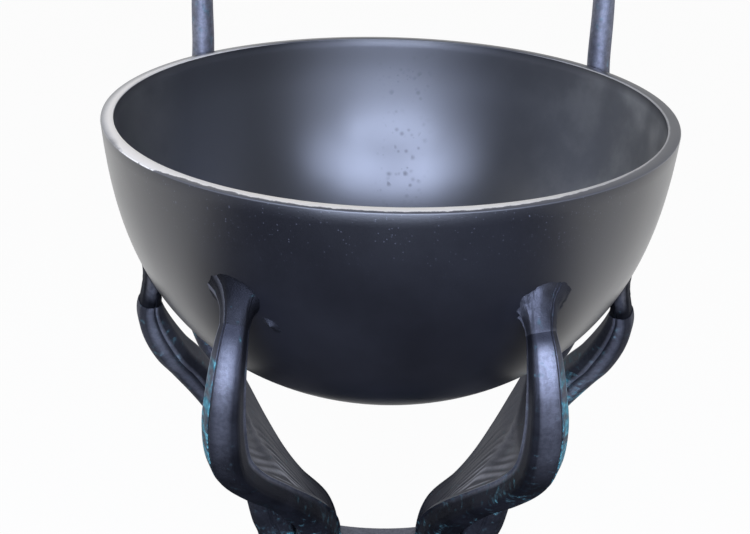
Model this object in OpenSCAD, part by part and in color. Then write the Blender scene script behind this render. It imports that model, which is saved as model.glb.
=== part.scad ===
// Black fire bowl held by two antler-shaped arms on a turned pedestal and a round foot.
// The origin is on the floor under the centre of the bowl. -Y is the front.

/* [Bowl] */
// Outer diameter of the bowl at its rim
bowl_od = 305; // [250:1:370]
// Depth of the bowl, from the rim to the outside of its bottom
bowl_depth = 158; // [130:1:192]
// Thickness of the bowl's wall
bowl_wall = 6.4; // [4:0.1:8]
// Fullness of the bowl's curve: 2 is an ellipse and more is squarer
bowl_fullness = 2.5; // [2:0.1:3]
// Bevel on both edges of the ground rim
rim_bevel = 0.8; // [0.3:0.1:1.5]
// Height of the rim above the floor
rim_height = 500; // [450:1:600]

/* [Antlers] */
// Drop from the rim to the flat seats under the arms
seat_drop = 370; // [340:1:400]
// Distance of each antler's foot from the centre line
stem_reach = 48; // [44:1:56]
// Drop from the rim to the front welds
front_weld_drop = 50; // [42:1:60]
// Angle of the front welds from the front
front_weld_angle = 26; // [20:1:32]
// Least thickness of the palm between its two edges
palm_thickness = 9; // [7:0.5:12]
// Dip of the palm's upper edge between the rail and the rear tine
palm_scoop = 18; // [12:1:24]
// Number of flutes along the palm's inner face
flute_count = 7; // [4:1:9]
// Depth of the flutes
flute_depth = 1.6; // [0.5:0.1:2.5]

/* [Side and rear tines] */
// Distance of each side tine's foot from the antler's foot
side_step = 28; // [28:1:36]
// Drop from the rim to the side welds
side_weld_drop = 86; // [75:1:95]
// Angle of the side welds from the front
side_weld_angle = 62.5; // [58:0.5:68]
// Angle of the left rear tine from the front, where it passes the rim
rear_left_angle = 129.5; // [118:0.5:134]
// Angle of the right rear tine from the front, where it passes the rim
rear_right_angle = 122.5; // [118:0.5:134]
// Gap between a rear tine and the rim
rear_gap = 1; // [0.6:0.1:2]
// Height of the rear tines above the rim
rear_rise = 180; // [120:1:240]
// Diameter of a rear tine at the rim
rear_d = 14.6; // [12:0.1:18]
// Diameter of a rear tine at its tip
rear_tip_d = 6; // [4:0.5:9]
// Drop from the rim to the rear welds
rear_weld_drop = 14; // [10:1:24]
// Gap that a weld leaves to the bowl
weld_gap = 0.25; // [0.2:0.05:0.3]

/* [Crown] */
// Length of the crown's flange past the side tines' screws
crown_end = 27; // [24:1:40]
// Width of the crown's flange
crown_width = 76; // [70:1:90]
// Thickness of the crown's flange
crown_thickness = 18; // [14:1:24]
// Height of the saddle between the antlers, above their seats
saddle_height = 37; // [25:1:42]
// Thickness of the saddle
saddle_thickness = 18; // [14:1:24]
// Radius of the hollow on top of the saddle
saddle_radius = 180; // [120:5:300]
// Dip of the saddle's top below its height
saddle_dip = 3; // [3:0.5:6]
// Distance between each end of the saddle and the middle of the rail's foot
saddle_clear = 14.5; // [14:0.5:20]
// Diameter of the boss under the flange
boss_d = 64; // [56:1:70]
// Height of the boss
boss_h = 6; // [4:1:10]

/* [Pedestal and base] */
// Diameter of the base
base_d = 270; // [240:1:300]
// Thickness of the base at its edge
base_edge = 12; // [10:1:16]
// Height of the base from its land to its flat top
base_rise = 28; // [24:1:34]
// Thickness of the base's dome
base_wall = 9; // [7:0.5:11]
// Width of the flat land under the base's edge
land_width = 32; // [30:1:40]
// Diameter of the base's flat top and of the pedestal's ends
pedestal_d = 68; // [62:1:80]
// Diameter of the pedestal's waist
waist_d = 42; // [36:1:50]
// Thickness of the pedestal's round end beads
bead_h = 9; // [7:1:12]

/* [Fasteners and pads] */
// Diameter of the tie rod
tie_d = 12; // [10:1:14]
// Diameter of the screws that hold the arms
screw_d = 8; // [6:1:10]
// Length of those screws inside the arms
screw_grip = 22; // [16:1:26]
// Diameter of the foot pads
pad_d = 26; // [22:1:28]
// Height of the foot pads
pad_h = 6; // [5:1:10]
// Number of foot pads
pad_count = 4; // [3:1:6]
// Diameter of the pads' screws
pad_screw_d = 5; // [4:0.5:6]
// Gap all round a fastener in its hole
hole_gap = 0.3; // [0.2:0.05:0.5]

/* [Hidden] */
$fn = 96;

bowl_r = bowl_od / 2;
profile_steps = 24;
seat_z = rim_height - seat_drop;
side_reach = stem_reach + side_step;
crown_length = 2 * (side_reach + crown_end);
flange_z = seat_z - crown_thickness;
boss_z = flange_z - boss_h;
base_top = pad_h + base_rise;
pad_reach = base_d / 2 - land_width / 2;
// Sizes of the screws, their washers and their holes
head_h = screw_d;
head_d = 1.6 * screw_d;
socket_d = 0.9 * screw_d;
washer_t = 1.6;
washer_d = 2 * screw_d;
screw_room = 2;
// Sizes of the tie rod's ends, from the land inside the base up to the blind hole in the crown
tie_land_h = 12;
tie_land = pad_h + tie_land_h;
tie_washer_t = 2.5;
tie_washer_d = 2 * tie_d;
tie_nut_d = 1.8 * tie_d;
tie_nut_h = 10;
tie_tail = 2;
tie_cover = 1;
tie_room = 8;
// Sizes of the pads' screws
pad_head_d = 2 * pad_screw_d;
pad_head_h = 2;
pad_grip = base_edge - 4;
pad_bevel = 1;
pad_start = 45;
// How far a cut runs past a face
over = 1;
far = 1000;
bowl_black = [0.05, 0.05, 0.07];
arm_black = [0.09, 0.1, 0.13];
bare_steel = [0.6, 0.6, 0.62];
pad_black = [0.04, 0.04, 0.04];

// Points in turn round the bowl, and smooth paths
function polar(r, angle, z) = [r * sin(angle), -r * cos(angle), z];
function unit(v) = v / norm(v);
function mix(a, b, t) = a + (b - a) * t;
function part_way(x, from, to) = min(1, max(0, (x - from) / (to - from)));
function smooth_at(p, u) =
    let (n = len(p), i = min(floor(u), n - 2), t = u - i,
        a = p[max(i - 1, 0)], b = p[i], c = p[i + 1], d = p[min(i + 2, n - 1)])
    0.5 * (2 * b + (c - a) * t + (2 * a - 5 * b + 4 * c - d) * t * t + (3 * b - a - 3 * c + d) * t * t * t);

// Radius of the bowl's outside at a drop below the rim
function bowl_at(drop) = bowl_r * pow(1 - pow(drop / bowl_depth, bowl_fullness), 1 / bowl_fullness);
function bowl_curve(r, depth) = [for (i = [0:profile_steps])
    let (t = 90 * i / profile_steps)
    [r * pow(cos(t), 2 / bowl_fullness), rim_height - depth * pow(sin(t), 2 / bowl_fullness)]];

// A closed skin through rings that have the same number of points
module loft(rings) {
    n = len(rings[0]);
    last = len(rings) - 1;
    sides = [for (k = [0:last - 1], i = [0:n - 1]) let (j = (i + 1) % n)
        each [[k * n + j, k * n + i, k * n + n + j], [k * n + n + j, k * n + i, k * n + n + i]]];
    caps = [[for (i = [0:n - 1]) i], [for (i = [n - 1:-1:0]) last * n + i]];
    polyhedron([for (r = rings) each r], concat(sides, caps), convexity = 8);
}

// One skin out of what is cast in one piece
module one_casting() {
    resize([0, 0, 0]) union() children();
}

// The bowl as a full body, grown by the gap of the welds
module bowl_blank() {
    outer = bowl_curve(bowl_r + weld_gap, bowl_depth + weld_gap);
    rotate_extrude() polygon(concat(
        [[0, rim_height + rim_bevel], [bowl_r + weld_gap, rim_height + rim_bevel]], outer,
        [[0, rim_height - bowl_depth - weld_gap]]));
}

module below_seat() {
    translate([-far / 2, -far / 2, seat_z - far]) cube(far);
}

module fire_bowl() {
    outer = bowl_curve(bowl_r, bowl_depth);
    inner = bowl_curve(bowl_r - bowl_wall, bowl_depth - bowl_wall);
    color(bowl_black) rotate_extrude() polygon(concat(
        [[bowl_r - rim_bevel, rim_height]],
        [[bowl_r, rim_height - rim_bevel]],
        [for (i = [1:profile_steps - 1]) outer[i]],
        [[0, rim_height - bowl_depth]],
        [[0, rim_height - bowl_depth + bowl_wall]],
        [for (i = [profile_steps - 1:-1:1]) inner[i]],
        [[bowl_r - bowl_wall, rim_height - rim_bevel]],
        [[bowl_r - bowl_wall + rim_bevel, rim_height]]));
}

// An arm runs from its foot at reach 0 and rise 0 to its weld on the bowl at reach 1 and rise 1
function arm_point(weld_drop, reach, angle, rise) = polar(
    mix(stem_reach, bowl_at(weld_drop), reach), angle, mix(seat_z, rim_height - weld_drop, rise));
function on_arm(path, weld_drop) = [for (s = path)
    concat(arm_point(weld_drop, s[0], s[1], s[2]), [for (i = [3:len(s) - 1]) s[i]])];
function place(s) = [s[0], s[1], s[2]];

// Centre line of an antler's rail, from its foot to the bowl: reach, angle, rise, half width and half depth
rail = [
    [0, 75, -0.08, 16, 13],
    [0, 68, 0, 16, 13],
    [0.02, 60, 0.11, 15.5, 12.5],
    [0.07, 50, 0.22, 14.5, 12],
    [0.177, 39, 0.315, 13, 11],
    [0.354, 35, 0.405, 11, 9.5],
    [0.59, 33.2, 0.505, 8.2, 8],
    [0.807, 32, 0.589, 8.2, 8],
    [0.984, 30.5, 0.668, 9.5, 8],
    [1.1, 28.3, 0.74, 9.8, 8],
    [1.171, 26.2, 0.822, 9.3, 7.5],
    [1.181, 24.9, 0.889, 8.2, 7],
    [1.14, front_weld_angle - 1.3, 0.938, 7.2, 6.5],
    [1.06, front_weld_angle - 0.8, 0.975, 6, 6],
    [0.97, front_weld_angle - 0.3, 1.005, 6, 6],
    [0.88, front_weld_angle, 1.025, 6, 6]];
// Both edges of the palm behind the rail: reach, angle, rise and half thickness
palm_root = [
    [0, 75, -0.08, 12],
    [0, 68, 0, 12],
    [0.02, 60, 0.11, 11],
    [0.07, 50, 0.22, 10],
    [0.177, 39, 0.315, 8],
    [0.354, 35, 0.405, 6.5],
    [0.57, 34, 0.505, 5.5],
    [0.78, 33, 0.589, 5],
    [0.95, 31.5, 0.668, 5],
    [0.98, 31, 0.68, 2]];
palm_edge = [
    [0, 98, -0.08, 17],
    [0.02, 107, 0, 17],
    [0.02, 113, 0.08, 16],
    [0.08, 117, 0.14, 13],
    [0.26, 117, 0.19, 9.5],
    [0.4, 115.5, 0.25, 9],
    [0.52, 113.5, 0.335, 8.5],
    [0.63, 112, 0.42, 8.5],
    [0.73, 111.5, 0.485, 8.5],
    [0.745, 111.4, 0.497, 5]];
// Sections of the bars, across and outward, in half widths and half depths.
// The rail has a flat face, a groove beside its outer bevel and a bead along its inner edge.
rail_outline = [[1, -0.5], [1, 0.12], [0.54, 0.86], [0.47, 0.8], [0.4, 1], [-0.72, 1], [-0.94, 0.82],
    [-1, 0.5], [-1, -0.42], [-1.1, -0.52], [-0.96, -0.62], [-0.6, -1], [0.6, -1]];
side_outline = [[1, -0.5], [1, 0.5], [0.5, 1], [-0.5, 1], [-0.92, 0.6], [-1, -0.06], [-0.87, -0.2],
    [-1, -0.34], [-0.62, -0.92], [0.5, -1]];
rod_sides = 16;
rod_outline = [for (i = [0:rod_sides - 1]) [cos(360 * i / rod_sides), sin(360 * i / rod_sides)]];
// Share of its own angle by which the rail's flat face turns away from the front
rail_facing = 0.2;
rings_per_step = 3;
lobe_points = 6;
inner_points = 4 * flute_count;
outer_points = 7;
// A chord of this length has thinned to the palm's least thickness
thin_chord = 34;
// Shares of the palm's length between which it dips towards its upper edge
scoop_start = 0.6;
scoop_end = 0.88;
// Shares of the palm's length between which the flutes run out
flute_fade = 0.55;
flute_end = 0.9;
// How soon the palm thins behind its edges, and how narrow the flutes are
web_reach = 0.6;
flute_narrow = 1.3;

// Centre, direction across and direction outward of a bar at a step of its path
function bar_frame(path, u, facing) =
    let (top = len(path) - 1, h = 0.1, s = smooth_at(path, u),
        t = unit(place(smooth_at(path, min(u + h, top)) - smooth_at(path, max(u - h, 0)))),
        outward = polar(1, facing * atan2(s[0], -s[1]), 0), o = unit(outward - (outward * t) * t))
    [place(s), s[3] * cross(t, o), s[4] * o];
function bar_ring(path, u, outline, facing) = let (f = bar_frame(path, u, facing))
    [for (p = outline) f[0] + p[0] * f[1] + p[1] * f[2]];

module bar(path, outline, facing = 1) {
    steps = (len(path) - 1) * rings_per_step;
    loft([for (k = [steps:-1:0]) bar_ring(path, k / rings_per_step, outline, facing)]);
}

function half_thickness(v, front, back, web) =
    mix(front, back, v) - (mix(front, back, 0.5) - web) * pow(sin(180 * v), web_reach);
function flute(v, size) = size * sin(180 * v) * pow(1 - abs(sin(180 * v * flute_count)), flute_narrow);

function palm_ring(f, b, along, share) =
    let (chord = place(b) - place(f), e = unit(chord), n = unit(cross(along, e)),
        thin = 1 - exp(-pow(norm(chord) / thin_chord, 2)),
        web = min(mix(min(f[3], b[3]), palm_thickness / 2, thin), f[3]),
        dip = unit(along) * palm_scoop * pow(part_way(share, scoop_start, scoop_end), 2),
        cut = thin * flute_depth * part_way(share, flute_end, flute_fade))
    concat(
        [for (i = [0:lobe_points - 1]) let (a = 90 + 180 * i / (lobe_points - 1))
            place(f) + f[3] * (cos(a) * e + sin(a) * n)],
        [for (i = [1:outer_points - 1]) let (v = i / outer_points)
            place(f) + v * chord - sin(180 * v) * dip
                - half_thickness(v, f[3], b[3], web) * n],
        [for (i = [0:lobe_points - 1]) let (a = -90 + 180 * i / (lobe_points - 1))
            place(b) + b[3] * (cos(a) * e + sin(a) * n)],
        [for (i = [inner_points - 1:-1:1]) let (v = i / inner_points)
            place(f) + v * chord - sin(180 * v) * dip
                + (half_thickness(v, f[3], b[3], web) - flute(v, cut)) * n]);

module palm() {
    roots = on_arm(palm_root, front_weld_drop);
    edges = on_arm(palm_edge, front_weld_drop);
    top = len(roots) - 1;
    middle = [for (i = [0:top]) place(roots[i] + edges[i]) / 2];
    loft([for (k = [0:top * rings_per_step]) let (u = k / rings_per_step, h = 0.1)
        palm_ring(smooth_at(roots, u), smooth_at(edges, u),
            smooth_at(middle, min(u + h, top)) - smooth_at(middle, max(u - h, 0)), u / top)]);
}

module antler_skin() {
    bar(on_arm(rail, front_weld_drop), rail_outline, rail_facing);
    palm();
}

// Screws up into the antler's foot: one in the rail and one in the palm's thick edge
antler_screws = [[stem_reach, -13], [stem_reach + 2, 13]];

module screw_hole(p) {
    translate([p[0], p[1], seat_z - over])
        cylinder(d = screw_d + 2 * hole_gap, h = over + screw_grip + screw_room, $fn = 24);
}

module antler() {
    color(arm_black) one_casting() difference() {
        union() antler_skin();
        bowl_blank();
        below_seat();
        for (p = antler_screws) screw_hole(p);
    }
}

// The side tine stands on the crown, lies against the outside of the palm and bends in to the bowl
side_foot = [
    [side_reach, 92, -0.08, 10.5, 13],
    [side_reach, 91, 0, 10.5, 13.5]];
side_low = [
    [0.272, 90, 0.122, 10, 14],
    [0.307, 89, 0.1875, 10, 13.5],
    [0.371, 87, 0.306, 9.5, 11.5],
    [0.455, 84.5, 0.419, 9.5, 8],
    [0.54, 81, 0.494, 9, 7]];
side_high = [
    [0.715, 78.5, 0.66, 10, 9.5],
    [0.832, 75, 0.748, 10, 10.5],
    [0.92, 71, 0.81, 9.5, 10],
    [0.99, 68, 0.873, 9, 9],
    [1.03, side_weld_angle + 3, 0.928, 8, 7.5],
    [1.035, side_weld_angle + 1, 0.968, 6.5, 6],
    [0.99, side_weld_angle, 1, 5.5, 5],
    [0.9, side_weld_angle, 1.04, 5, 4]];
side_path = concat(
    [for (s = side_foot)
        concat(polar(s[0], s[1], mix(seat_z, rim_height - side_weld_drop, s[2])), s[3], s[4])],
    on_arm(side_low, front_weld_drop), on_arm(side_high, side_weld_drop));

side_screw = [side_reach, 0];

module side_tine() {
    color(arm_black) one_casting() difference() {
        bar(side_path, side_outline);
        antler_skin();
        bowl_blank();
        below_seat();
        screw_hole(side_screw);
    }
}

// The rear tine leaves the palm's upper back corner, bends up and passes close behind the rim
corner = palm_edge[8];
rear_r = bowl_r + rear_gap + rear_d / 2;
// How far the rear tine stands out below the rim, how far down and how far round, and where it is close
rear_bow = 6;
rear_bow_drop = 50;
rear_bow_turn = 2;
rear_close_drop = 6;
// How far the tip leans in over the bowl, and turns towards the back
rear_lean = 12.5;
rear_turn = 3;
function rear_low(angle, reach, share, rise, half) = concat(
    arm_point(front_weld_drop, reach, mix(corner[1], angle, share), rise), half, half);
function rear_high(angle, share, size) = concat(
    polar(rear_r - rear_lean * share, angle + rear_turn * share, rim_height + share * rear_rise),
    size / 2, size / 2);
function rear_path(angle) = [
    rear_low(angle, corner[0], 0, corner[2], 6.5),
    rear_low(angle, corner[0] + 0.12, 0.1, corner[2] + 0.03, 8.5),
    rear_low(angle, 1.03, 0.3, 0.585, 8.5),
    rear_low(angle, 1.14, 0.5, 0.68, 8.2),
    rear_low(angle, 1.19, 0.75, 0.83, 7.8),
    concat(polar(rear_r + rear_bow, angle - rear_bow_turn, rim_height - rear_bow_drop),
        rear_d / 2, rear_d / 2),
    concat(polar(rear_r, angle, rim_height - rear_close_drop), rear_d / 2, rear_d / 2),
    rear_high(angle, 0.2, mix(rear_d, rear_tip_d, 0.12)),
    rear_high(angle, 0.6, mix(rear_d, rear_tip_d, 0.5)),
    rear_high(angle, 0.97, rear_tip_d),
    rear_high(angle, 1, rear_tip_d / 2)];

module rear_tine(angle) {
    color(arm_black) one_casting() difference() {
        bar(rear_path(angle), rod_outline);
        antler_skin();
    }
}

// A point on the bowl's outside, counted from a weld's centre
function on_bowl(angle, drop, across, up) =
    polar(bowl_at(drop - up), angle + across / bowl_r * 180 / PI, rim_height - drop + up);

// A weld spreads from an arm's neck to the bowl. Throat and foot: angle, drop, half width and half height.
weld_steps = 5;
// Size of a weld's neck against its arm, and how far it is drawn into the bowl before that is cut from it
weld_lip = 1.08;
weld_sink = 0.97;
weld_outline = [[1.05, -0.6], [1.05, 0.4], [0.6, 1], [0, 1.05], [-0.7, 1.05], [-1.05, 0.7], [-1.12, 0],
    [-1.12, -0.6], [-0.6, -1.05], [0, -1.05], [0.65, -1.05]];
function weld_line(neck, spot, throat, foot) =
    let (a = atan2(spot[1], spot[0]),
        f = on_bowl(foot[0], foot[1], foot[2] * cos(a), foot[3] * sin(a)),
        m = on_bowl(throat[0], throat[1], throat[2] * cos(a), throat[3] * sin(a)))
    [for (k = [0:weld_steps]) let (s = k / weld_steps)
        pow(1 - s, 2) * f + 2 * s * (1 - s) * m + s * s * neck];

module weld(path, u, facing, throat, foot) {
    neck = bar_ring(path, u, weld_lip * weld_outline, facing);
    lines = [for (i = [0:len(neck) - 1]) weld_line(neck[i], weld_outline[i], throat, foot)];
    sunk = [for (l = lines) [l[0][0] * weld_sink, l[0][1] * weld_sink, l[0][2]]];
    loft(concat([sunk], [for (k = [0:weld_steps]) [for (l = lines) l[k]]]));
}

// The step of the rail's path at the neck, then the throat and the foot
front_neck = 12.9;
front_throat = [front_weld_angle, front_weld_drop + 2, 8.5, 8.5];
front_foot = [front_weld_angle + 1.3, front_weld_drop - 1, 16, 11.5];

module front_weld() {
    color(arm_black) one_casting() difference() {
        weld(on_arm(rail, front_weld_drop), front_neck, rail_facing, front_throat, front_foot);
        bowl_blank();
        antler_skin();
    }
}

side_neck = 12;
side_throat = [side_weld_angle, side_weld_drop - 2, 7.5, 7.5];
side_bead = [side_weld_angle - 0.5, side_weld_drop - 6, 10, 10];

module side_weld() {
    color(arm_black) one_casting() difference() {
        weld(side_path, side_neck, 1, side_throat, side_bead);
        bowl_blank();
        bar(side_path, side_outline);
    }
}

// The rear weld is a low bead between the rim and the rear tine: half width, half depth and half height
rear_bead = [8, 4, 10];

module rear_weld(angle) {
    color(arm_black) one_casting() difference() {
        translate(polar(bowl_at(rear_weld_drop) + rear_gap / 2, angle, rim_height - rear_weld_drop))
            rotate(angle) scale(rear_bead) sphere(1, $fn = 20);
        bowl_blank();
        bar(rear_path(angle), rod_outline);
    }
}

// The right-hand pieces are drawn, and the left-hand ones are their mirror images
module to_left() {
    mirror([1, 0, 0]) children();
}

arm_screw_places = [for (p = concat(antler_screws, [side_screw]), side = [-1, 1]) [side * p[0], p[1]]];

module at_arm_screws(z) {
    for (p = arm_screw_places) translate([p[0], p[1], z]) children();
}

module crown() {
    saddle_w = 2 * (place(on_arm(rail, front_weld_drop)[1])[0] - saddle_clear);
    color(arm_black) difference() {
        union() {
            translate([0, 0, flange_z]) linear_extrude(crown_thickness) {
                square([crown_length - crown_width, crown_width], center = true);
                for (side = [-1, 1]) translate([side * (crown_length - crown_width) / 2, 0])
                    circle(d = crown_width);
            }
            translate([0, 0, boss_z]) cylinder(d = boss_d, h = boss_h + over);
            translate([-saddle_w / 2, -saddle_thickness / 2, seat_z - over])
                cube([saddle_w, saddle_thickness, saddle_height + over]);
        }
        translate([0, 0, seat_z + saddle_height - saddle_dip + saddle_radius]) rotate([90, 0, 0])
            cylinder(r = saddle_radius, h = far, center = true);
        translate([0, 0, boss_z - over])
            cylinder(d = tie_d + 2 * hole_gap, h = over + boss_h + crown_thickness - tie_cover);
        at_arm_screws(flange_z - over) cylinder(d = screw_d + 2 * hole_gap, h = crown_thickness + 2 * over);
    }
}

module arm_screws() {
    color(bare_steel) at_arm_screws(flange_z - washer_t) {
        cylinder(d = screw_d, h = washer_t + crown_thickness + screw_grip);
        difference() {
            translate([0, 0, -head_h]) cylinder(d = head_d, h = head_h);
            translate([0, 0, -head_h - over]) cylinder(d = socket_d, h = head_h / 2 + over, $fn = 6);
        }
    }
}

module arm_washers() {
    color(bare_steel) at_arm_screws(flange_z - washer_t) difference() {
        cylinder(d = washer_d, h = washer_t);
        translate([0, 0, -over]) cylinder(d = screw_d + 2 * hole_gap, h = washer_t + 2 * over);
    }
}

module pedestal() {
    end_r = pedestal_d / 2 - bead_h / 2;
    top_r = boss_d / 2 - bead_h / 2;
    neck_low = base_top + bead_h;
    neck_high = boss_z - bead_h;
    steps = 16;
    hollow = 2.2;
    neck = [for (i = [0:steps]) let (t = i / steps, flare = pow(abs(2 * t - 1), hollow))
        [mix(waist_d / 2, (t < 0.5 ? end_r : top_r), flare), mix(neck_low, neck_high, t)]];
    color(arm_black) difference() {
        union() {
            rotate_extrude() polygon(concat([[0, base_top], [end_r, base_top], [end_r, neck_low]], neck,
                [[top_r, neck_high], [top_r, boss_z], [0, boss_z]]));
            translate([0, 0, base_top]) bead(end_r);
            translate([0, 0, neck_high]) bead(top_r);
        }
        translate([0, 0, base_top - over])
            cylinder(d = tie_d + 2 * hole_gap, h = boss_z - base_top + 2 * over);
    }
}

module bead(r) {
    rotate_extrude() translate([r, bead_h / 2]) circle(d = bead_h);
}

module base() {
    edge_r = base_d / 2;
    edge_round = 3;
    edge_bevel = 1.5;
    top_step = 4;
    top_r = pedestal_d / 2 + top_step;
    land_r = edge_r - land_width;
    shoulder_z = pad_h + base_edge;
    round_z = shoulder_z - edge_round;
    tie_boss_rim = 8;
    tie_boss_r = tie_washer_d / 2 + tie_boss_rim;
    steps = 12;
    dome = [for (i = [0:steps]) let (t = i / steps)
        [mix(edge_r - edge_round, top_r, t), mix(shoulder_z, base_top, (1 - cos(180 * t)) / 2)]];
    roof = [for (i = [steps:-1:0]) let (t = i / steps)
        [mix(land_r, tie_boss_r, t), mix(round_z, base_top - base_wall, (1 - cos(180 * t)) / 2)]];
    color(arm_black) difference() {
        rotate_extrude() polygon(concat(
            [[land_r, pad_h], [edge_r - edge_bevel, pad_h], [edge_r, pad_h + edge_bevel], [edge_r, round_z]],
            dome,
            [[0, base_top], [0, tie_land], [tie_boss_r, tie_land]], roof));
        translate([0, 0, tie_land - over]) cylinder(d = tie_d + 2 * hole_gap, h = base_top);
        at_pads(pad_h - over) cylinder(d = pad_screw_d + 2 * hole_gap, h = pad_grip + 2 * over);
    }
}

module tie_rod() {
    low = tie_land - tie_washer_t - tie_nut_h - tie_tail;
    high = seat_z - tie_cover - tie_room;
    color(bare_steel) translate([0, 0, low]) cylinder(d = tie_d, h = high - low);
}

module tie_washer() {
    color(bare_steel) translate([0, 0, tie_land - tie_washer_t]) difference() {
        cylinder(d = tie_washer_d, h = tie_washer_t);
        translate([0, 0, -over]) cylinder(d = tie_d + 2 * hole_gap, h = tie_washer_t + 2 * over);
    }
}

module tie_nut() {
    color(bare_steel) translate([0, 0, tie_land - tie_washer_t - tie_nut_h]) difference() {
        cylinder(d = tie_nut_d, h = tie_nut_h, $fn = 6);
        translate([0, 0, -over]) cylinder(d = tie_d + 2 * hole_gap, h = tie_nut_h + 2 * over);
    }
}

module at_pads(z) {
    for (i = [0:pad_count - 1]) rotate(pad_start + 360 * i / pad_count)
        translate([pad_reach, 0, z]) children();
}

module foot_pads() {
    color(pad_black) at_pads(0) difference() {
        rotate_extrude() polygon([[0, 0], [pad_d / 2 - pad_bevel, 0], [pad_d / 2, pad_bevel],
            [pad_d / 2 - pad_bevel, pad_h], [0, pad_h]]);
        translate([0, 0, -over]) cylinder(d = pad_screw_d + 2 * hole_gap, h = pad_h + 2 * over);
        translate([0, 0, -over]) cylinder(d = pad_head_d + 2 * hole_gap, h = pad_h / 2 + over);
    }
}

module foot_screws() {
    head_z = pad_h / 2 - pad_head_h;
    color(bare_steel) at_pads(head_z) {
        cylinder(d = pad_head_d, h = pad_head_h);
        cylinder(d = pad_screw_d, h = pad_h + pad_grip - head_z);
    }
}

fire_bowl();
to_left() antler();  // left_antler
antler();  // right_antler
to_left() side_tine();  // left_side_tine
side_tine();  // right_side_tine
to_left() rear_tine(rear_left_angle);  // left_rear_tine
rear_tine(rear_right_angle);  // right_rear_tine
to_left() front_weld();  // front_left_weld
front_weld();  // front_right_weld
to_left() side_weld();  // side_left_weld
side_weld();  // side_right_weld
to_left() rear_weld(rear_left_angle);  // rear_left_weld
rear_weld(rear_right_angle);  // rear_right_weld
crown();
arm_screws();
arm_washers();
pedestal();
base();
tie_rod();
tie_washer();
tie_nut();
foot_pads();
foot_screws();
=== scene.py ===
"""Looks of the black fire bowl on its antler arms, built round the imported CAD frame.

The floor is at Z 0 under the centre of the bowl, -Y is the front, and every length is in metres.
"""
import math

import bmesh
import bpy
from mathutils import Matrix, Vector, noise


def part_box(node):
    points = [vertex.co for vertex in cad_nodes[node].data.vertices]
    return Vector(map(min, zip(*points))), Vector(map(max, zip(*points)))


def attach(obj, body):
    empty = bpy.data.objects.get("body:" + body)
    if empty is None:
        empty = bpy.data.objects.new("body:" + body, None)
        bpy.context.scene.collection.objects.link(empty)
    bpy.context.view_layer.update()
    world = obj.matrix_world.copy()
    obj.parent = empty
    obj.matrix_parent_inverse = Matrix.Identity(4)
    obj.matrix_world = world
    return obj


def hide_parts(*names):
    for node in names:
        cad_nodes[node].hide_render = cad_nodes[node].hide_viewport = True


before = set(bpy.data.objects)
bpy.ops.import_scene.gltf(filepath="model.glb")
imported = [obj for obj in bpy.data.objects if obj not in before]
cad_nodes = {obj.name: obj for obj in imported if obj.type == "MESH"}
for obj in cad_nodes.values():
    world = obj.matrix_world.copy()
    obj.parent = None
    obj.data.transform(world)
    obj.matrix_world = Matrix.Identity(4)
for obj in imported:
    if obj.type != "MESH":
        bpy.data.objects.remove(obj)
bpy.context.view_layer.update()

MM = 0.001
SIDES = (("left", -1), ("right", 1))

# The bowl and the seats of the arms are taken from the frame
bowl_low, bowl_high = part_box("fire_bowl")
RIM_Z = bowl_high.z
BOWL_R = bowl_high.x
BOWL_DEPTH = bowl_high.z - bowl_low.z
BOWL_WALL = 6.4 * MM
BOWL_FULLNESS = 2.5
RIM_BEVEL = 0.8 * MM
SEAT_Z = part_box("right_antler")[0].z

# Arms: where they leave the stand, where they are welded to the bowl and how deep their tips end in it
STEM_REACH = 48 * MM
FRONT_WELD_DROP = 50 * MM
SIDE_WELD_DROP = 86 * MM
REAR_WELD_DROP = 14 * MM
TIP_SINK = 4 * MM


def mix(a, b, t):
    return a + (b - a) * t


def share_of(value, start, end):
    """How far a value has gone from start to end, from 0 to 1."""
    return min(1, max(0, (value - start) / (end - start)))


def hump(value, centre, reach):
    """1 at the centre, and evenly down to 0 at the reach."""
    return max(0, 1 - abs(value - centre) / reach)


def polar(r, angle, z):
    turn = math.radians(angle)
    return Vector((r * math.sin(turn), -r * math.cos(turn), z))


def outward(p):
    """The level direction from the bowl's axis to a point."""
    return Vector((p.x, p.y, 0)).normalized()


def middle_of(ring):
    return sum(ring, Vector()) / len(ring)


def bowl_at(drop):
    """Radius of the bowl's outside at a drop below the rim."""
    share = share_of(drop, 0, BOWL_DEPTH)
    return BOWL_R * (1 - share ** BOWL_FULLNESS) ** (1 / BOWL_FULLNESS)


def smooth_at(stations, u):
    """A smooth path through stations, each a list of numbers."""
    last = len(stations) - 1
    i = min(int(u), last - 1)
    t = u - i
    a, b, c, d = (stations[min(max(i + k, 0), last)] for k in (-1, 0, 1, 2))
    return [0.5 * (2 * q + (r - p) * t + (2 * p - 5 * q + 4 * r - s) * t * t
                   + (3 * q - p - 3 * r + s) * t ** 3) for p, q, r, s in zip(a, b, c, d)]


def heading(stations, u):
    """The way a path runs at a step, as long as the way between two near steps."""
    last, near = len(stations) - 1, 0.1
    ahead, behind = smooth_at(stations, min(u + near, last)), smooth_at(stations, max(u - near, 0))
    return Vector(ahead[:3]) - Vector(behind[:3])


def arm_point(foot_reach, weld_drop, reach, angle, rise):
    """From the foot at reach 0 and rise 0 to the weld on the bowl at reach 1 and rise 1."""
    return polar(mix(foot_reach, bowl_at(weld_drop), reach), angle, mix(SEAT_Z, RIM_Z - weld_drop, rise))


# Meshes

SHARP_ANGLE = 35
ARM_LAYERS = ("bloom", "painted_sheen")


def start_mesh(*layers):
    """An empty mesh whose vertices carry painted values."""
    bm = bmesh.new()
    for layer in layers:
        bm.verts.layers.float.new(layer)
    return bm


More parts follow.
